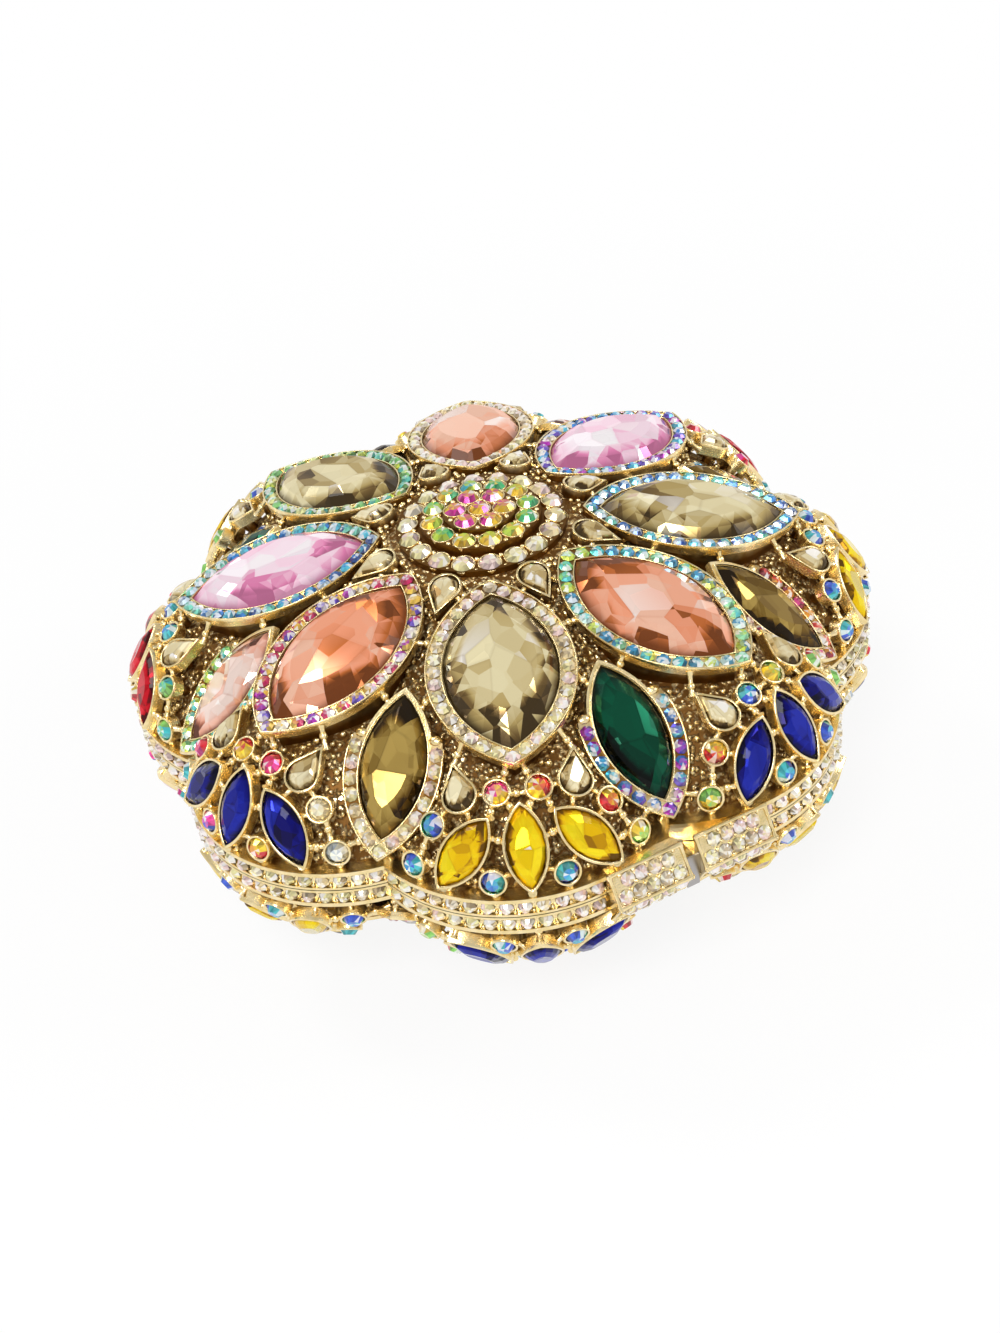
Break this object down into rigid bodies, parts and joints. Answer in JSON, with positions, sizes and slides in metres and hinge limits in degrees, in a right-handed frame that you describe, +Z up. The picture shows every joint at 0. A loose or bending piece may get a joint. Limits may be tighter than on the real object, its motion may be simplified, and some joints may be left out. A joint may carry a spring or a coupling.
{
  "type": "crystal clutch",
  "caption": "Round flower-shaped hard evening clutch: two hinged domed halves set with pointed, pear and round crystals, a stone-set rim and a two-block clasp.",
  "frame": {"origin": "centre of the closed case on the surface that it rests on, below the middle of the lower rosette", "axes": "+Z up through both rosettes, -Y towards the clasp, +Y towards the hinge, +X to the right seen from the clasp"},
  "size_m": [0.1466, 0.1549, 0.074],
  "materials": {
    "gold_metal": "light gold plate, polished",
    "shell_metal": "gold plate, darkened in the recesses",
    "lining": "metallic gold leatherette",
    "pin_steel": "bright",
    "leaf_steel": "satin grey",
    "rim_crystal": "cut and foil-backed",
    "coral_glass": "cut and foil-backed",
    "smoky_glass": "cut and foil-backed",
    "pink_glass": "cut and foil-backed",
    "green_glass": "cut and foil-backed",
    "olive_glass": "cut and foil-backed",
    "peach_glass": "cut and foil-backed",
    "blue_glass": "cut and foil-backed",
    "yellow_glass": "cut and foil-backed",
    "red_glass": "cut and foil-backed",
    "pear_glass": "cut and foil-backed",
    "round_glass": "cut and foil-backed",
    "rosette_glass": "cut and foil-backed"
  },
  "bodies": {
    "base": {"base_rim_band": "gold_metal", "base_large_bezels": "gold_metal", "base_medium_bezels": "gold_metal", "base_fan_bezels": "gold_metal", "base_pear_bezels": "gold_metal", "base_round_cups": "gold_metal", "base_rosette": "gold_metal", "base_hinge_leaf": "gold_metal", "base_clasp_block": "gold_metal", "base_shell": "shell_metal", "base_lining": "lining", "base_rim_stones": "rim_crystal", "base_coral_stones": "coral_glass", "base_tan_stones": "smoky_glass", "base_pink_stones": "pink_glass", "base_green_stones": "green_glass", "base_olive_stones": "olive_glass", "base_peach_stones": "peach_glass", "base_blue_fan": "blue_glass", "base_yellow_fan": "yellow_glass", "base_red_fan": "red_glass", "base_pear_stones": "pear_glass", "base_round_stones": "round_glass", "base_rosette_stones": "rosette_glass", "chain_lugs": "gold_metal", "hinge_pin": "pin_steel"},
    "lid": {"lid_rim_band": "gold_metal", "lid_large_bezels": "gold_metal", "lid_medium_bezels": "gold_metal", "lid_fan_bezels": "gold_metal", "lid_pear_bezels": "gold_metal", "lid_round_cups": "gold_metal", "lid_rosette": "gold_metal", "lid_hinge_leaf": "gold_metal", "lid_clasp_block": "gold_metal", "lid_shell": "shell_metal", "lid_lining": "lining", "lid_rim_stones": "rim_crystal", "lid_coral_stones": "coral_glass", "lid_tan_stones": "smoky_glass", "lid_pink_stones": "pink_glass", "lid_green_stones": "green_glass", "lid_olive_stones": "olive_glass", "lid_peach_stones": "peach_glass", "lid_blue_fan": "blue_glass", "lid_yellow_fan": "yellow_glass", "lid_red_fan": "red_glass", "lid_pear_stones": "pear_glass", "lid_round_stones": "round_glass", "lid_rosette_stones": "rosette_glass"},
    "catch": {"catch_leaf": "leaf_steel"}
  },
  "joints": [
    {"name": "lid_hinge", "type": "hinge", "parent": "base", "child": "lid", "pos_m": [0, 0.07519, 0.037], "axis": [-1, 0, 0], "range_deg": [0, 105]},
    {"name": "catch_flex", "type": "hinge", "parent": "base", "child": "catch", "pos_m": [0.0088, -0.07478, 0.037], "axis": [0, 0, -1], "range_deg": [0, 2], "stiffness_Nm_per_rad": 0.05}
  ]
}
